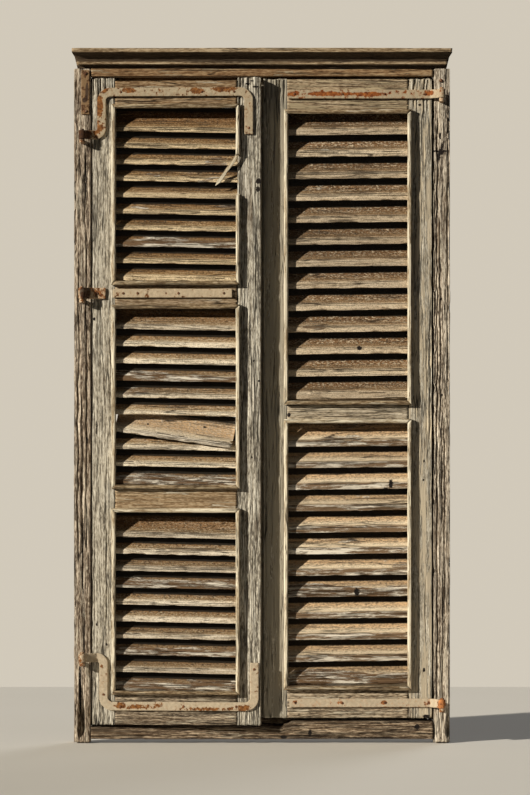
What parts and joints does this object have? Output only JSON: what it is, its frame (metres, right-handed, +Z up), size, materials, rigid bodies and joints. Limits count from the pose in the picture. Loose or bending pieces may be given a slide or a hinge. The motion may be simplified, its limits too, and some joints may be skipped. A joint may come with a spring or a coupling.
{
  "type": "louvred shutters",
  "caption": "Pair of weathered louvred wooden shutters on forged strap hinges, hung in their own frame under a moulded cornice; one leaf stands slightly ajar.",
  "frame": {"origin": "on the wall plane, at the middle of the sill rail's back face, on the centre line between the jambs", "axes": "+X to the right seen from the street, +Y into the wall, +Z up"},
  "size_m": [0.986, 0.1013, 1.804],
  "materials": {
    "jamb_wood": "weathered, cracked",
    "head_wood": "weathered, worn tan",
    "leaf_wood": "silvered grey with paint remnants",
    "slat_wood": "weathered, peeling cream paint",
    "bead_paint": "worn cream paint",
    "strap_iron": "worn cream paint over rust",
    "rusted_iron": "rusted",
    "nail_iron": "rusted, dark"
  },
  "bodies": {
    "frame": {"jamb_left": "jamb_wood", "jamb_right": "jamb_wood", "frame_head": "head_wood", "sill_rail": "jamb_wood", "cornice": "head_wood", "jamb_plate": "rusted_iron", "jamb_screws": "nail_iron", "pintle_left_top": "rusted_iron", "pintle_left_middle": "rusted_iron", "pintle_left_bottom": "rusted_iron", "pintle_right_top": "rusted_iron", "pintle_right_bottom": "rusted_iron"},
    "left_leaf": {"left_hinge_stile": "leaf_wood", "left_meeting_stile": "leaf_wood", "left_bottom_rail": "leaf_wood", "left_lower_rail": "leaf_wood", "left_upper_rail": "leaf_wood", "left_top_rail": "leaf_wood", "left_slats_bottom": "slat_wood", "left_slats_middle": "slat_wood", "left_slats_top": "slat_wood", "left_slipped_slat": "slat_wood", "left_bottom_bead_sill": "bead_paint", "left_bottom_bead_head": "bead_paint", "left_bottom_bead_hinge": "bead_paint", "left_bottom_bead_meeting": "bead_paint", "left_middle_bead_sill": "bead_paint", "left_middle_bead_head": "bead_paint", "left_middle_bead_hinge": "bead_paint", "left_middle_bead_meeting": "bead_paint", "left_top_bead_sill": "bead_paint", "left_top_bead_head": "bead_paint", "left_top_bead_hinge": "bead_paint", "left_top_bead_broken": "bead_paint", "left_strap_top": "strap_iron", "left_strap_middle": "strap_iron", "left_strap_bottom": "strap_iron", "left_hinge_plate": "rusted_iron", "left_nails": "nail_iron"},
    "right_leaf": {"right_hinge_stile": "leaf_wood", "right_meeting_stile": "leaf_wood", "right_bottom_rail": "leaf_wood", "right_middle_rail": "leaf_wood", "right_top_rail": "leaf_wood", "right_slats_bottom": "slat_wood", "right_slats_top": "slat_wood", "right_bottom_bead_sill": "bead_paint", "right_bottom_bead_head": "bead_paint", "right_bottom_bead_hinge": "bead_paint", "right_bottom_bead_meeting": "bead_paint", "right_top_bead_sill": "bead_paint", "right_top_bead_head": "bead_paint", "right_top_bead_hinge": "bead_paint", "right_top_bead_meeting": "bead_paint", "right_strap_top": "strap_iron", "right_strap_bottom": "strap_iron", "right_nails": "nail_iron"}
  },
  "joints": [
    {"name": "left_leaf_hinge", "type": "hinge", "parent": "frame", "child": "left_leaf", "pos_m": [-0.466, -0.088, 0], "axis": [0, 0, -1], "range_deg": [-3, 175]},
    {"name": "right_leaf_hinge", "type": "hinge", "parent": "frame", "child": "right_leaf", "pos_m": [0.466, -0.088, 0], "axis": [0, 0, 1], "range_deg": [0, 178]}
  ]
}
